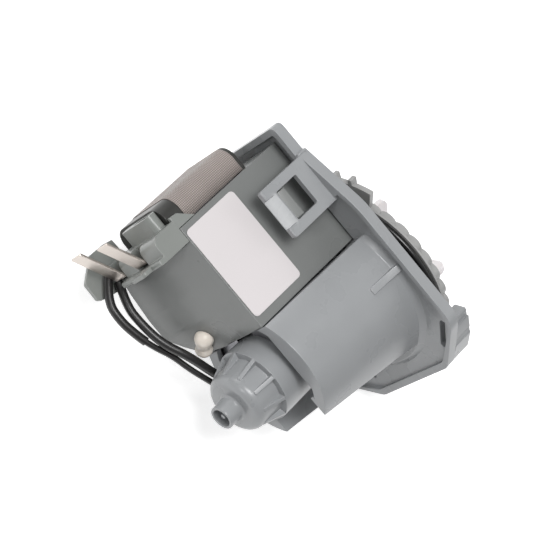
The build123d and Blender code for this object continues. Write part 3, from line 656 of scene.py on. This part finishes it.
def shaded(mesh: bpy.types.Mesh) -> bpy.types.Mesh:
    """Weight a mesh's normals by face size, so that flat faces look flat beside round edges.

    Args:
        mesh: Mesh with smooth faces and marked sharp edges.

    Returns:
        The mesh with its own normals.
    """
    blank = linked(mesh.name, mesh)
    blank.modifiers.new("shade", "WEIGHTED_NORMAL").keep_sharp = True
    return evaluated(blank, mesh.name)


@dataclass(frozen=True)
class Rounded:
    """Copy of a CAD node with small radii on its sharp edges, in millimetres and degrees.

    Attributes:
        node: Name of the CAD node.
        radius: Width of the rounding.
        segments: Faces across it.
        angle: Edges sharper than this are rounded.
        crease: Edges sharper than this stay hard after rounding.
        stray: Share of the radius that a corner may lie off the CAD surface.
    """

    node: str
    radius: float = 0.25
    segments: int = 2
    angle: float = 32.0
    crease: float = 38.0
    stray: float = 0.45

    def build(self, workshop: Workshop) -> bpy.types.Object:
        """Make the rounded copy and put it in the node's place.

        Args:
            workshop: Where the piece gets its finish.

        Returns:
            The piece.
        """
        name = f"{self.node}_rounded"
        copy = merged_copy(self.node)
        skin = BVHTree.FromBMesh(copy)
        blank = linked(self.node, as_mesh(copy, self.node))
        bevel = blank.modifiers.new("edges", "BEVEL")
        bevel.width = self.radius * MM
        bevel.segments = self.segments
        bevel.limit_method = "ANGLE"
        bevel.angle_limit = radians(self.angle)
        # With the clamp, one short edge would take the radius away from the whole node.
        bevel.use_clamp_overlap = False
        mesh = evaluated(blank, name)
        self.settle(mesh, skin)
        return workshop.place(shaded(mesh), name, (self.node,))

    def settle(self, mesh: bpy.types.Mesh, skin: BVHTree) -> None:
        """Draw stray corners back to the CAD surface, cut faces into triangles and shade them.

        Args:
            mesh: Rounded mesh.
            skin: Surface of the node before its edges were rounded.
        """
        low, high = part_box(self.node)
        made = bmesh.new()
        made.from_mesh(mesh)
        reach = self.stray * self.radius * MM
        for vert in made.verts:
            nearest, _, _, distance = skin.find_nearest(vert.co)
            if distance > reach:
                vert.co = nearest
            vert.co = Vector(min(max(value, least), most) for value, least, most in zip(vert.co, low, high))
        bmesh.ops.triangulate(made, faces=made.faces, ngon_method="BEAUTY")
        made.normal_update()
        unfold(made)
        clear_folds(made, skin)
        made.normal_update()
        for face in made.faces:
            face.smooth = True
        for edge in made.edges:
            edge.smooth = len(edge.link_faces) == 2 and edge.calc_face_angle(0.0) < radians(self.crease)
        made.to_mesh(mesh)
        made.free()


RADII = {
    "pump_body": 0.22, "stator_block": 0.35, "chamber_plate": 0.1, "terminal_carrier": 0.18,
    "coil_bobbins": 0.2, "impeller": 0.25, "impeller_cap": 0.2, "spade_terminals": 0.12,
    "rating_label": 0.05, "thermal_cutout": 0.2, "drive_dog": 0.15, "dog_damper": 0.15,
    "rotor_magnet": 0.3, "rotor_sleeve": 0.2, "thrust_washers": 0.15, "front_bush": 0.2,
    "rear_bush": 0.2, "rear_bush_cup": 0.1, "flange_gasket": 0.08, "cover_o_ring": 0.03,
    "shaft_seal": 0.05, "rotor_shaft": 0.1,
}


@dataclass(frozen=True)
class CarrierTab:
    """Flat tab of the terminal carrier over the end of the coil, in millimetres."""

    outline: tuple[Pair, ...] = ((-46.4, 51.1), (-38.6, 51.1), (-43.4, 55.0), (-46.4, 55.4))
    bottom: float = 16.5
    top: float = 17.9
    edge: float = 0.25
    segments: int = 3

    def build(self, workshop: Workshop) -> bpy.types.Object:
        """Raise the tab from its outline and round its edges.

        Args:
            workshop: Where the piece gets its finish.

        Returns:
            The piece.
        """
        made = bmesh.new()
        base = made.faces.new([made.verts.new((x * MM, y * MM, self.bottom * MM)) for x, y in self.outline])
        raised = bmesh.ops.extrude_face_region(made, geom=[base])
        upper = [item for item in raised["geom"] if isinstance(item, bmesh.types.BMVert)]
        bmesh.ops.translate(made, verts=upper, vec=(0, 0, (self.top - self.bottom) * MM))
        bmesh.ops.bevel(made, geom=made.edges, offset=self.edge * MM, segments=self.segments, profile=0.5,
                        affect="EDGES")
        bmesh.ops.recalc_face_normals(made, faces=made.faces)
        for face in made.faces:
            face.smooth = True
        return workshop.add(shaded(as_mesh(made, "carrier_tab")), "carrier_tab", "terminal_carrier")


class Group:
    """Geometry-node group with named inputs, applied to a mesh and then dropped."""

    def __init__(self, name: str, **inputs: str) -> None:
        """Start a group.

        Args:
            name: Name of the group.
            **inputs: Socket type of each named input, without its prefix.
        """
        self.tree = bpy.data.node_groups.new(name, "GeometryNodeTree")
        face = self.tree.interface
        face.new_socket("Geometry", in_out="INPUT", socket_type="NodeSocketGeometry")
        self.sockets = {}
        for title, kind in inputs.items():
            self.sockets[title] = face.new_socket(title, in_out="INPUT", socket_type="NodeSocket" + kind)
        face.new_socket("Geometry", in_out="OUTPUT", socket_type="NodeSocketGeometry")
        self.given = self.tree.nodes.new("NodeGroupInput")
        self.result = self.tree.nodes.new("NodeGroupOutput")

    def add(self, kind: str, **values: float | str) -> bpy.types.Node:
        """Add a node and set its inputs or, where it has none of that name, its settings.

        Args:
            kind: Type of the node.
            **values: Value of each named input or setting.

        Returns:
            The node.
        """
        node = self.tree.nodes.new(kind)
        for title, value in values.items():
            if title in node.inputs:
                node.inputs[title].default_value = value
            else:
                setattr(node, title, value)
        return node

    def join(self, source: Socket, target: Socket) -> None:
        """Link one socket to another."""
        self.tree.links.new(source, target)

    def repeat(self, item: Socket) -> Socket:
        """Repeat an item by the inputs Count and Pitch, make it real and give it the Material.

        Args:
            item: Geometry of one copy.

        Returns:
            Geometry of the whole row.
        """
        row = self.add("GeometryNodeMeshLine")
        self.join(self.given.outputs["Count"], row.inputs["Count"])
        self.join(self.given.outputs["Pitch"], row.inputs["Offset"])
        copies = self.add("GeometryNodeInstanceOnPoints")
        self.join(row.outputs[0], copies.inputs["Points"])
        self.join(item, copies.inputs["Instance"])
        real = self.add("GeometryNodeRealizeInstances")
        self.join(copies.outputs[0], real.inputs[0])
        paint = self.add("GeometryNodeSetMaterial")
        self.join(real.outputs[0], paint.inputs["Geometry"])
        self.join(self.given.outputs["Material"], paint.inputs["Material"])
        return paint.outputs[0]

    def apply(self, mesh: bpy.types.Mesh, name: str,
              **values: float | Point | bpy.types.Material) -> bpy.types.Mesh:
        """Run the group on a mesh.

        Args:
            mesh: Mesh that goes in.
            name: Name of the mesh that comes out.
            **values: Value of each named input.

        Returns:
            The plain mesh that comes out.
        """
        blank = linked(name, mesh)
        step = blank.modifiers.new(name, "NODES")
        step.node_group = self.tree
        for title, value in values.items():
            step[self.sockets[title].identifier] = value
        return evaluated(blank, name)


class Lumps(Group):
    """Uneven surface: every point moves along its normal by noise with a fixed seed."""

    def __init__(self) -> None:
        """Build the group."""
        super().__init__("lumps", Height="Float", Scale="Float", Seed="Float")
        noise = self.add("ShaderNodeTexNoise", noise_dimensions="4D", Detail=2.0)
        centred = self.add("ShaderNodeMath", operation="SUBTRACT")
        centred.inputs[1].default_value = 0.5
        size = self.add("ShaderNodeMath", operation="MULTIPLY")
        outward = self.add("GeometryNodeInputNormal")
        push = self.add("ShaderNodeVectorMath", operation="SCALE")
        move = self.add("GeometryNodeSetPosition")
        given = self.given.outputs
        joints = ((given["Scale"], noise.inputs["Scale"]), (given["Seed"], noise.inputs["W"]),
                  (noise.outputs["Fac"], centred.inputs[0]), (centred.outputs[0], size.inputs[0]),
                  (given["Height"], size.inputs[1]), (outward.outputs[0], push.inputs[0]),
                  (size.outputs[0], push.inputs["Scale"]), (push.outputs[0], move.inputs["Offset"]),
                  (given["Geometry"], move.inputs["Geometry"]), (move.outputs[0], self.result.inputs[0]))
        for source, target in joints:
            self.join(source, target)


class Stack(Group):
    """Copies of the geometry in a row, one pitch apart, made real and given a material."""

    def __init__(self) -> None:
        """Build the group."""
        super().__init__("stack", Count="Int", Pitch="Vector", Material="Material")
        self.join(self.repeat(self.given.outputs["Geometry"]), self.result.inputs[0])


class Turns(Group):
    """Wire turns: each edge loop of the geometry becomes a round tube, repeated in a row."""

    def __init__(self) -> None:
        """Build the group."""
        super().__init__("turns", Count="Int", Pitch="Vector", Radius="Float", Material="Material")
        loop = self.add("GeometryNodeMeshToCurve")
        self.join(self.given.outputs["Geometry"], loop.inputs[0])
        ring = self.add("GeometryNodeCurvePrimitiveCircle", Resolution=8)
        self.join(self.given.outputs["Radius"], ring.inputs["Radius"])
        tube = self.add("GeometryNodeCurveToMesh")
        self.join(loop.outputs[0], tube.inputs["Curve"])
        self.join(ring.outputs[0], tube.inputs["Profile Curve"])
        smooth = self.add("GeometryNodeSetShadeSmooth")
        self.join(self.repeat(tube.outputs[0]), smooth.inputs[0])
        self.join(smooth.outputs[0], self.result.inputs[0])


def rounded_loop(low: Pair, high: Pair, radius: float, steps: int = 6) -> list[Pair]:
    """Points of a rectangle with round corners, anticlockwise.

    Args:
        low: Lowest corner.
        high: Highest corner.
        radius: Radius of the corners.
        steps: Chords in each corner.

    Returns:
        The points, without a repeat of the first.
    """
    centres = ((high[0] - radius, high[1] - radius, 0), (low[0] + radius, high[1] - radius, 90),
               (low[0] + radius, low[1] + radius, 180), (high[0] - radius, low[1] + radius, 270))
    points = []
    for across, up, start in centres:
        for step in range(steps + 1):
            angle = radians(start + 90 * step / steps)
            points.append((across + radius * cos(angle), up + radius * sin(angle)))
    return points


@dataclass(frozen=True)
class Laminations:
    """Stack of punched sheets that makes up the stator core, in millimetres."""

    pitch: float = 0.5
    gap: float = 0.06

    def build(self, workshop: Workshop) -> bpy.types.Object:
        """Cut one sheet out of the core and repeat it over the core's thickness.

        Args:
            workshop: Where the piece gets its finish.

        Returns:
            The piece with all sheets.
        """
        low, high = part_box("stator_core")
        sheet = merged_copy("stator_core")
        last = low.x + (self.pitch - self.gap) * MM
        middle = (low.x + high.x) / 2
        for vert in sheet.verts:
            vert.co.x = low.x if vert.co.x < middle else last
        count = round((high.x - low.x) / (self.pitch * MM))
        mesh = Stack().apply(as_mesh(sheet, "core_sheet"), "core_sheets", Count=count,
                             Pitch=(self.pitch * MM, 0.0, 0.0), Material=workshop.materials["core_steel"])
        return workshop.place(mesh, "core_sheets", ("stator_core",))


@dataclass(frozen=True)
class Coils:
    """Two wire windings on the legs of the core, in millimetres.

    Attributes:
        wire: Radius of the wire.
        corner: Radius of a turn's corners.
        skin: Depth of the plain body under the outside of the turns.
        apart: Room between the two windings.
    """

    wire: float = 0.25
    corner: float = 3.0
    skin: float = 0.6
    apart: float = 2.6

    def build(self, workshop: Workshop) -> bpy.types.Object:
        """Wind the outer turns over a plain body, inside the CAD solids.

        Args:
            workshop: Where the piece gets its finish.

        Returns:
            The piece with both windings.
        """
        low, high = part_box("coil_windings")
        turns = Turns()
        joined = bmesh.new()
        inset = self.wire * MM
        pitch = 2 * inset
        count = int((high.y - low.y) / pitch)
        inner = self.apart * MM / 2
        for near, far in ((inner, high.z), (low.z, -inner)):
            loop = rounded_loop((low.x + inset, near + inset), (high.x - inset, far - inset),
                                self.corner * MM)
            ends = [(step, (step + 1) % len(loop)) for step in range(len(loop))]
            path = bpy.data.meshes.new("turn_path")
            path.from_pydata([(x, low.y + inset, z) for x, z in loop], ends, [])
            wound = turns.apply(path, "turns", Count=count, Pitch=(0.0, pitch, 0.0), Radius=inset,
                                Material=workshop.materials["copper_wire"])
            joined.from_mesh(wound)
        filler = merged_copy("coil_windings")
        middle = (low.x + high.x) / 2
        share = 1 - self.skin * MM / (high.x - middle)
        for vert in filler.verts:
            vert.co.x = middle + (vert.co.x - middle) * share
        joined.from_mesh(as_mesh(filler, "winding_body"))
        return workshop.place(as_mesh(joined, "coil_turns"), "coil_turns", ("coil_windings",))


@dataclass(frozen=True)
class Tape:
    """Woven tape over the yoke: a wavy strip with its own UV map in millimetres."""

    thickness: float = 0.5
    corner: float = 5.0
    chords: int = 10
    columns: int = 84
    wave_height: float = 0.12
    wave_scale: float = 160.0
    wave_seed: float = 3.0

    def build(self, workshop: Workshop) -> bpy.types.Object:
        """Lay the strip round three sides of the coil end.

        Args:
            workshop: Where the piece gets its finish.

        Returns:
            The piece.
        """
        low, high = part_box("coil_tape")
        outline = self.outline(low, high)
        made = bmesh.new()
        uv = made.loops.layers.uv.new("weave")
        rows = []
        for column in range(self.columns + 1):
            x = low.x + (high.x - low.x) * column / self.columns
            rows.append([(made.verts.new((x, y, z)), x, along) for y, z, along in outline])
        count = len(outline)
        for first, second in zip(rows, rows[1:]):
            for step in range(count):
                corners = (first[step], second[step], second[(step + 1) % count], first[(step + 1) % count])
                face = made.faces.new([corner[0] for corner in corners])
                face.smooth = True
                for loop, (_, x, along) in zip(face.loops, corners):
                    loop[uv].uv = (x / MM, along / MM)
        for row in (rows[0], rows[-1]):
            made.faces.new([corner[0] for corner in row])
        bmesh.ops.recalc_face_normals(made, faces=made.faces)
        mesh = Lumps().apply(as_mesh(made, "tape_strip"), "tape_strip",
                             Height=-self.wave_height * MM, Scale=self.wave_scale, Seed=self.wave_seed)
        return workshop.place(mesh, "tape_strip", ("coil_tape",))

    def outline(self, low: Vector, high: Vector) -> list[Point]:
        """Section of the strip in the (y, z) plane, with the length run so far.

        Args:
            low: Lowest corner of the tape.
            high: Highest corner of the tape.

        Returns:
            Rows of y, z and length along the strip, out along the outside and back along the inside.
        """
        outer = self.arc_side(low, high, 0.0)
        inner = self.arc_side(low, high, self.thickness * MM)
        run, rows = 0.0, []
        for index, (y, z) in enumerate(outer):
            if index:
                run += Vector((y - outer[index - 1][0], z - outer[index - 1][1])).length
            rows.append((y, z, run))
        back = [(y, z, run * (1 - index / (len(inner) - 1))) for index, (y, z) in enumerate(reversed(inner))]
        return rows + back

    def arc_side(self, low: Vector, high: Vector, inset: float) -> list[Pair]:
        """One face of the strip, from the far foot over the top to the near foot.

        Args:
            low: Lowest corner of the tape.
            high: Highest corner of the tape.
            inset: Depth of this face under the outer one.

        Returns:
            Points (y, z).
        """
        radius = self.corner * MM - inset
        top = high.y - inset
        points = [(low.y, low.z + inset)]
        for centre_z, start in ((low.z + inset + radius, -90), (high.z - inset - radius, 0)):
            for step in range(self.chords + 1):
                angle = radians(start + 90 * step / self.chords)
                points.append((top - radius + radius * cos(angle), centre_z + radius * sin(angle)))
        points.append((low.y, high.z - inset))
        return points


@dataclass(frozen=True)
class Dab:
    """Sealant squeezed onto the block: a smooth, lumpy blob, in millimetres."""

    grid: float = 0.16
    smooth_passes: int = 14
    lump_height: float = 0.22
    lump_scale: float = 330.0
    lump_seed: float = 7.0

    def build(self, workshop: Workshop) -> bpy.types.Object:
        """Smooth and roughen the CAD blob.

        Args:
            workshop: Where the piece gets its finish.

        Returns:
            The piece.
        """
        blank = linked("dab", as_mesh(merged_copy("sealant_dab"), "dab"))
        skin = blank.modifiers.new("skin", "REMESH")
        skin.mode = "VOXEL"
        skin.voxel_size = self.grid * MM
        skin.use_smooth_shade = True
        smooth = blank.modifiers.new("smooth", "SMOOTH")
        smooth.iterations = self.smooth_passes
        mesh = Lumps().apply(evaluated(blank, "dab"), "dab",
                             Height=-self.lump_height * MM, Scale=self.lump_scale, Seed=self.lump_seed)
        return workshop.place(mesh, "sealant_blob", ("sealant_dab",))


OUTER_ROUTE = ((-55.7, 52.4, -14), (-61.9, 46.9, -14), (-62.9, 39.5, -14), (-61.6, 32.6, -14),
               (-60.0, 27.4, -14), (-57.0, 21.4, -14), (-55.4, 15.0, -14), (-53.0, 9.0, -14.2),
               (-48.2, -2.2, -15.4))
INNER_ROUTE = ((-54.2, 49.6, -14), (-58.15, 42.2, -13.6), (-58.75, 35.1, -12.9), (-58.3, 26.6, -11.7),
               (-54.8, 18.2, -10.2), (-50.2, 8.0, -13.0), (-46.0, 1.0, -14.8))


@dataclass(frozen=True)
class Lead:
    """Flexible lead along the corner points of its route, in millimetres.

    Attributes:
        name: Name of the piece.
        node: CAD node that it stands for.
        route: Corner points from end to end.
        diameter: Thickness of the lead.
        sleeve_run: Corner points that a thicker sleeve covers, from the start.
        sleeve: Thickness of that sleeve.
    """

    name: str
    node: str
    route: tuple[Point, ...]
    diameter: float
    sleeve_run: int = 0
    sleeve: float = 2.8

    def curve(self, name: str, route: list[Point], diameter: float) -> bpy.types.Object:
        """Draw a round spline along corner points.

        Args:
            name: Name of the curve.
            route: Corner points in millimetres.
            diameter: Thickness in millimetres.

        Returns:
            The curve object.
        """
        data = bpy.data.curves.new(name, "CURVE")
        data.dimensions = "3D"
        data.bevel_depth = diameter * MM / 2
        data.bevel_resolution = 6
        data.use_fill_caps = True
        data.resolution_u = 16
        spline = data.splines.new("NURBS")
        spline.points.add(len(route) - 1)
        for point, place in zip(spline.points, route):
            point.co = (*(value * MM for value in place), 1.0)
        spline.order_u = 3
        spline.use_endpoint_u = True
        return linked(name, data)

    def length(self, chords: int = 40) -> float:
        """Measure the spline, as quadratic pieces between the middles of its runs.

        Args:
            chords: Chords in each piece.

        Returns:
            Its length in metres.
        """
        points = [Vector(place) for place in self.route]
        joints = [points[0], *((a + b) / 2 for a, b in zip(points[1:-2], points[2:-1])), points[-1]]
        total = 0.0
        for start, corner, end in zip(joints, points[1:-1], joints[1:]):
            last = start
            for step in range(1, chords + 1):
                t = step / chords
                place = start * (1 - t) ** 2 + corner * 2 * t * (1 - t) + end * t ** 2
                total += (place - last).length
                last = place
        return total * MM

    def build(self, workshop: Workshop) -> bpy.types.Object:
        """Args:
            workshop: Where the piece gets its finish.

        Returns:
            The lead.
        """
        lead = self.curve(self.name, list(self.route), self.diameter)
        workshop.adopt(lead, (self.node,))
        if self.sleeve_run:
            last, after = (Vector(place) for place in self.route[self.sleeve_run - 1:self.sleeve_run + 1])
            end = tuple((last + after) / 2)
            sleeve = self.curve(f"{self.name}_sleeve", [*self.route[:self.sleeve_run], end], self.sleeve)
            workshop.adopt(sleeve, (self.node,))
        log.info("%s: %.1f mm", self.name, self.length() / MM)
        return lead


LEADS = (Lead("outer_lead", "lead_outer", OUTER_ROUTE, 1.9, sleeve_run=4),
         Lead("inner_lead", "lead_inner", INNER_ROUTE, 2.8))


@dataclass(frozen=True)
class PhotoCamera:
    """Camera at the photograph's place, fitted to the object's own directions in the picture.

    Attributes:
        frame_size: Side of the square picture in pixels.
        focal_px: Focal length in pixels.
        sensor: Width of the sensor in millimetres.
        label_normal: Z axis of the object as the camera sees it: right, down and away.
        rotor_axis: X axis of the object as the camera sees it.
        anchor_px: Pixel of a point on the rotor axis.
        anchor_x: Place of that point on the axis, in millimetres.
        distance: Depth of that point in millimetres.
        far: Where the view ends, in metres.
    """

    frame_size: float = 550.0
    focal_px: float = 2450.0
    sensor: float = 36.0
    label_normal: Point = (0.475, -0.262, -0.840)
    rotor_axis: Point = (0.610, -0.590, 0.529)
    anchor_px: Pair = (402.0, 238.0)
    anchor_x: float = 25.0
    distance: float = 765.0
    far: float = 10.0

    def build(self) -> bpy.types.Object:
        """Make the camera the scene's own.

        Returns:
            The camera object.
        """
        axis_z = Vector(self.label_normal).normalized()
        axis_x = Vector(self.rotor_axis).normalized()
        axis_x = (axis_x - axis_z * axis_x.dot(axis_z)).normalized()
        axis_y = axis_z.cross(axis_x)
        rows = Matrix((axis_x, axis_y, axis_z)).transposed()
        centre = self.frame_size / 2
        right, down = ((pixel - centre) * self.distance / self.focal_px for pixel in self.anchor_px)
        anchor = Vector((right, down, self.distance))
        offset = anchor - rows @ Vector((self.anchor_x, 0, 0))
        data = bpy.data.cameras.new("photo_camera")
        data.sensor_width = self.sensor
        data.lens = self.focal_px / self.frame_size * self.sensor
        data.clip_end = self.far
        camera = linked("photo_camera", data)
        turn = Matrix((rows[0], -rows[1], -rows[2])).transposed()
        camera.matrix_world = Matrix.Translation(-(rows.transposed() @ offset) * MM) @ turn.to_4x4()
        bpy.context.scene.camera = camera
        return camera


@dataclass(frozen=True)
class Lamp:
    """Square soft lamp that points at the pump, in metres and watts."""

    name: str
    place: Point
    size: float
    power: float
    aim: Point = (-0.02, 0.01, 0.0)

    def build(self) -> None:
        """Hang the lamp in its place."""
        data = bpy.data.lights.new(self.name, "AREA")
        data.size = self.size
        data.energy = self.power
        lamp = linked(self.name, data)
        lamp.location = self.place
        way = Vector(self.aim) - Vector(self.place)
        lamp.rotation_euler = way.to_track_quat("-Z", "Y").to_euler()


LAMPS = (
    Lamp("key", (-0.15, 0.12, 0.88), 0.36, 5.6),
    Lamp("side", (0.1, 0.75, 0.35), 0.4, 1.5),
    Lamp("rim", (0.5, -0.3, 0.45), 0.5, 0.8),
    Lamp("spark", (-0.6, 0.25, 0.45), 0.07, 0.7),
)


@dataclass(frozen=True)
class Studio:
    """Pale floor, white backdrop for the camera and soft lamps, in metres."""

    floor_half: float = 1.5
    floor_gap: float = 0.0005
    floor_grey: float = 0.9
    floor_glow: float = 0.62
    world_strength: float = 0.25

    def build(self) -> None:
        """Make the floor, the world and the lamps."""
        bpy.context.scene.view_settings.view_transform = "Standard"
        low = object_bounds()[0]
        self.floor(low[2] - self.floor_gap)
        self.world()
        for lamp in LAMPS:
            lamp.build()

    def floor(self, height: float) -> None:
        """Lay the floor, white to the camera away from the object's shadow.

        Args:
            height: Height of the floor in metres.
        """
        signs = ((-1, -1), (1, -1), (1, 1), (-1, 1))
        corners = [(right * self.floor_half, back * self.floor_half, height) for right, back in signs]
        mesh = bpy.data.meshes.new("floor")
        mesh.from_pydata(corners, [], [(0, 1, 2, 3)])
        paper = Tree("floor_paper")
        path = paper.add("LightPath").outputs
        seen = paper.math("MAXIMUM", path["Is Camera Ray"], path["Is Glossy Ray"])
        seen = paper.math("MAXIMUM", seen, path["Is Transmission Ray"])
        glow = paper.add("Emission", Color=(1, 1, 1, 1), Strength=self.floor_glow)
        both = paper.add("AddShader")
        mix = paper.add("MixShader")
        plain = paper.shader.outputs[0]
        joints = ((plain, both.inputs[0]), (glow.outputs[0], both.inputs[1]),
                  (seen, mix.inputs[0]), (plain, mix.inputs[1]), (both.outputs[0], mix.inputs[2]),
                  (mix.outputs[0], paper.nodes["Material Output"].inputs["Surface"]))
        for source, target in joints:
            paper.join(source, target)
        grey = self.floor_grey
        mesh.materials.append(paper.finish((grey, grey, grey, 1), grey))
        floor = linked("floor", mesh)
        floor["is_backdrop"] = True

    def world(self) -> None:
        """Light the object from all round, white to the camera."""
        world = bpy.data.worlds.new("studio")
        world.use_nodes = True
        nodes, links = world.node_tree.nodes, world.node_tree.links
        back = nodes["Background"]
        back.inputs["Color"].default_value = (1, 1, 1, 1)
        path = nodes.new("ShaderNodeLightPath")
        level = nodes.new("ShaderNodeMapRange")
        level.inputs["To Min"].default_value = self.world_strength
        level.inputs["To Max"].default_value = 1.0
        links.new(path.outputs["Is Camera Ray"], level.inputs["Value"])
        links.new(level.outputs["Result"], back.inputs["Strength"])
        bpy.context.scene.world = world


def main() -> None:
    """Build the scene round the frame."""
    logging.basicConfig(level=logging.INFO, format="%(message)s")
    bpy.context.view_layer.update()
    PhotoCamera().build()
    Studio().build()
    workshop = Workshop()
    workshop.dress()
    rounded = [Rounded(node, radius) for node, radius in RADII.items()]
    for piece in (*rounded, CarrierTab(), Laminations(), Coils(), Tape(), Dab(), *LEADS):
        piece.build(workshop)


if __name__ == "__main__":
    main()
